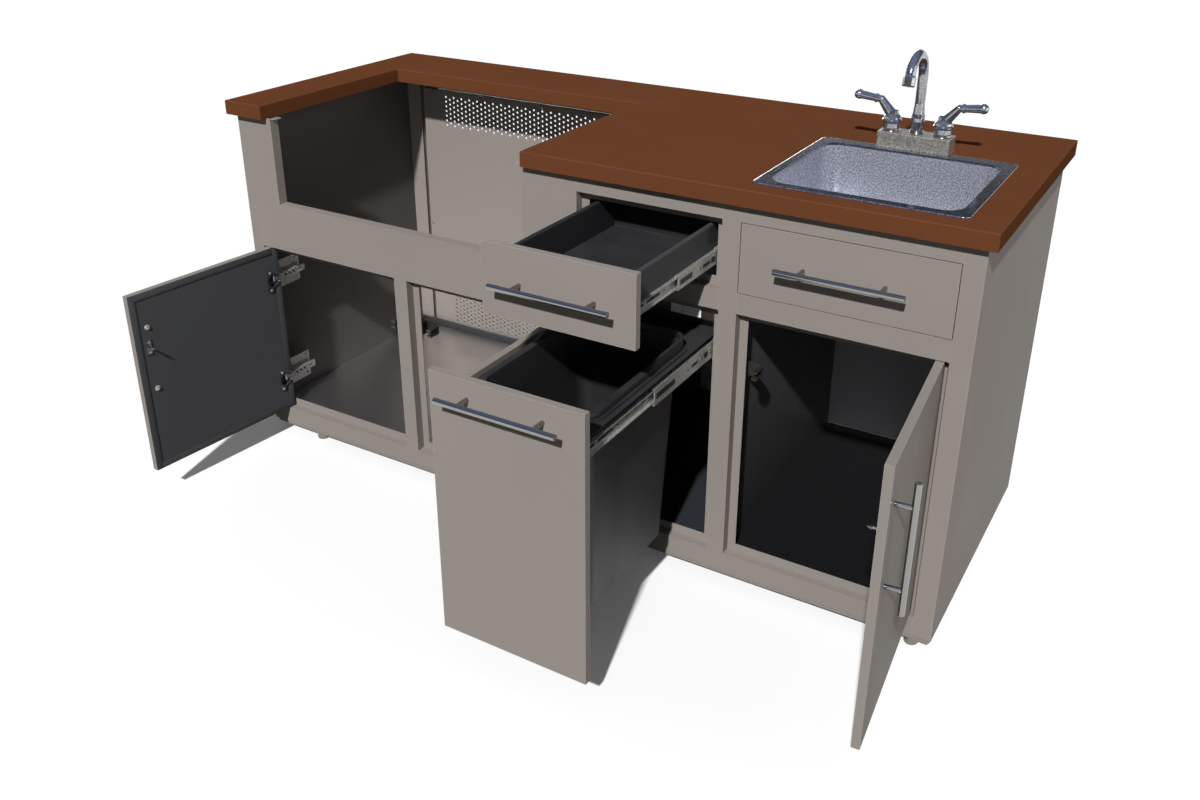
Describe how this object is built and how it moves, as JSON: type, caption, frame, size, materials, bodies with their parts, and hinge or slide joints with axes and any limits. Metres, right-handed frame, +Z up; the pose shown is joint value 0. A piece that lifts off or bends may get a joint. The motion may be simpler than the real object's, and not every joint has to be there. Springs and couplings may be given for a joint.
{
  "type": "outdoor kitchen island",
  "caption": "Outdoor kitchen island with an open grill bay, hinged doors, a drawer, a waste pull-out and a sink with a swivelling faucet.",
  "frame": {"origin": "middle of the bottom of the object's box, with doors and drawers open as stored", "axes": "+Z up, the cabinet's face looks along -Y, +X to the right seen from the front"},
  "size_m": [1.8684, 1.232, 1.129],
  "materials": {
    "taupe_paint": "satin powder coat",
    "charcoal_paint": "satin powder coat",
    "top_paint": "fine-textured rust-brown powder coat",
    "board": "raw board",
    "chrome": "polished",
    "zinc_plate": "bright zinc",
    "stainless_steel": "satin",
    "bin_plastic": "fine-grained black"
  },
  "bodies": {
    "root": {"countertop": "top_paint", "countertop_core": "board", "grill_surround": "taupe_paint", "face_stiles": "taupe_paint", "face_rails": "taupe_paint", "stop_frames": "taupe_paint", "side_panel_left": "taupe_paint", "side_panel_right": "taupe_paint", "dividers": "charcoal_paint", "floor_pans": "charcoal_paint", "vent_panel": "taupe_paint", "back_panels": "taupe_paint", "back_frame": "taupe_paint", "base_frame": "charcoal_paint", "slide_brackets": "taupe_paint", "panel_screws": "zinc_plate", "sink": "stainless_steel", "sink_drain": "stainless_steel", "sink_clips": "zinc_plate", "faucet_block": "chrome", "faucet_shanks": "zinc_plate", "hinge_arms": "zinc_plate", "catches": "zinc_plate", "drawer_slide_outer": "zinc_plate", "waste_slide_outer": "zinc_plate", "false_front": "taupe_paint", "false_front_clips": "taupe_paint", "false_front_handle": "chrome"},
    "door_left": {"door_left_shell": "taupe_paint", "door_left_liner": "charcoal_paint", "door_left_hardware": "zinc_plate", "door_left_handle": "chrome"},
    "door_mid": {"door_mid_shell": "taupe_paint", "door_mid_liner": "charcoal_paint", "door_mid_hardware": "zinc_plate", "door_mid_handle": "chrome"},
    "door_right": {"door_right_shell": "taupe_paint", "door_right_liner": "charcoal_paint", "door_right_hardware": "zinc_plate", "door_right_handle": "chrome"},
    "drawer": {"drawer_front": "taupe_paint", "drawer_handle": "chrome", "drawer_box": "charcoal_paint", "drawer_slide_inner": "zinc_plate"},
    "drawer_slide_middle": {"drawer_slide_mid": "zinc_plate"},
    "waste_pullout": {"waste_front": "taupe_paint", "waste_handle": "chrome", "waste_carrier": "charcoal_paint", "waste_bin": "bin_plastic", "waste_slide_inner": "zinc_plate"},
    "waste_slide_middle": {"waste_slide_mid": "zinc_plate"},
    "faucet_spout": {"spout": "chrome"},
    "hot_handle": {"lever_hot": "chrome"},
    "cold_handle": {"lever_cold": "chrome"},
    "foot_front_left": {"foot_front_left": "stainless_steel"},
    "foot_front_middle": {"foot_front_middle": "stainless_steel"},
    "foot_front_right": {"foot_front_right": "stainless_steel"},
    "foot_rear_left": {"foot_rear_left": "stainless_steel"},
    "foot_rear_middle": {"foot_rear_middle": "stainless_steel"},
    "foot_rear_right": {"foot_rear_right": "stainless_steel"}
  },
  "joints": [
    {"name": "door_left_hinge", "type": "hinge", "parent": "root", "child": "door_left", "pos_m": [-0.85326, -0.0665, 0.3085], "axis": [0, 0, 1], "range_deg": [-1, 95.6]},
    {"name": "door_mid_hinge", "type": "hinge", "parent": "root", "child": "door_mid", "pos_m": [0.02274, -0.0665, 0.3085], "axis": [0, 0, -1], "range_deg": [-1, 90]},
    {"name": "door_right_hinge", "type": "hinge", "parent": "root", "child": "door_right", "pos_m": [0.85774, -0.0665, 0.363], "axis": [0, 0, -1], "range_deg": [-1, 95]},
    {"name": "drawer_travel", "type": "slide", "parent": "root", "child": "drawer", "axis": [0, 1, 0], "range_m": [-0.04, 0.336]},
    {"name": "drawer_slide_middle_travel", "type": "slide", "parent": "root", "child": "drawer_slide_middle", "axis": [0, 1, 0], "range_m": [-0.02, 0.168]},
    {"name": "waste_travel", "type": "slide", "parent": "root", "child": "waste_pullout", "axis": [0, 1, 0], "range_m": [-0.04, 0.505]},
    {"name": "waste_slide_middle_travel", "type": "slide", "parent": "root", "child": "waste_slide_middle", "axis": [0, 1, 0], "range_m": [-0.02, 0.2525]},
    {"name": "spout_swivel", "type": "hinge", "parent": "root", "child": "faucet_spout", "pos_m": [0.64874, 0.358, 0.948], "axis": [0, 0, 1], "range_deg": [-90, 90]},
    {"name": "hot_valve", "type": "hinge", "parent": "root", "child": "hot_handle", "pos_m": [0.59474, 0.358, 0.948], "axis": [0, 0, 1], "range_deg": [0, 90]},
    {"name": "cold_valve", "type": "hinge", "parent": "root", "child": "cold_handle", "pos_m": [0.70274, 0.358, 0.948], "axis": [0, 0, -1], "range_deg": [0, 90]},
    {"name": "foot_front_left_screw", "type": "hinge", "parent": "root", "child": "foot_front_left", "pos_m": [-0.75626, -0.047, 0.023], "axis": [0, 0, 1], "continuous": true},
    {"name": "foot_front_middle_screw", "type": "hinge", "parent": "root", "child": "foot_front_middle", "pos_m": [0.05774, -0.047, 0.023], "axis": [0, 0, 1], "continuous": true},
    {"name": "foot_front_right_screw", "type": "hinge", "parent": "root", "child": "foot_front_right", "pos_m": [0.86874, -0.047, 0.023], "axis": [0, 0, 1], "continuous": true},
    {"name": "foot_rear_left_screw", "type": "hinge", "parent": "root", "child": "foot_rear_left", "pos_m": [-0.75626, 0.583, 0.023], "axis": [0, 0, 1], "continuous": true},
    {"name": "foot_rear_middle_screw", "type": "hinge", "parent": "root", "child": "foot_rear_middle", "pos_m": [0.05774, 0.583, 0.023], "axis": [0, 0, 1], "continuous": true},
    {"name": "foot_rear_right_screw", "type": "hinge", "parent": "root", "child": "foot_rear_right", "pos_m": [0.86874, 0.583, 0.023], "axis": [0, 0, 1], "continuous": true}
  ],
  "couplings": [
    {"joint": "drawer_slide_middle_travel", "follows": "drawer_travel", "ratio": 0.5},
    {"joint": "waste_slide_middle_travel", "follows": "waste_travel", "ratio": 0.5}
  ]
}
